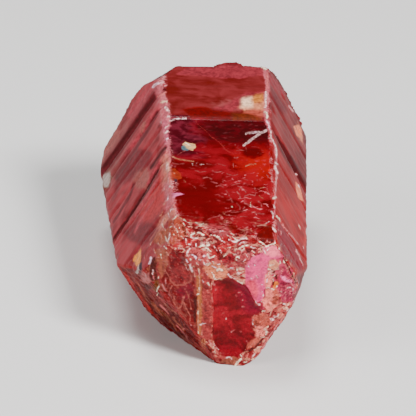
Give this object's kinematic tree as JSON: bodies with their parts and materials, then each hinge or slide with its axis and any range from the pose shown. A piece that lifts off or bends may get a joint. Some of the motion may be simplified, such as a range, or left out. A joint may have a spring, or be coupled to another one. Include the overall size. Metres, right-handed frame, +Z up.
{
  "type": "raw ruby crystal",
  "caption": "A raw ruby crystal that lies on one long face: a tapering six-sided prism with growth grooves, chipped edges and a blunt, broken front end.",
  "frame": {"origin": "the middle of the outer box in plan, on the level surface that the crystal lies on", "axes": "+Y from the blunt front end to the broken back end, +X to the right seen from the front, +Z up"},
  "size_m": [0.0124, 0.0208, 0.0107],
  "materials": {
    "ruby": "satin on the side faces, glassy on the top face and the front window, frosted along the chipped edges"
  },
  "bodies": {
    "root": {"ruby_crystal": "ruby"}
  },
  "joints": []
}
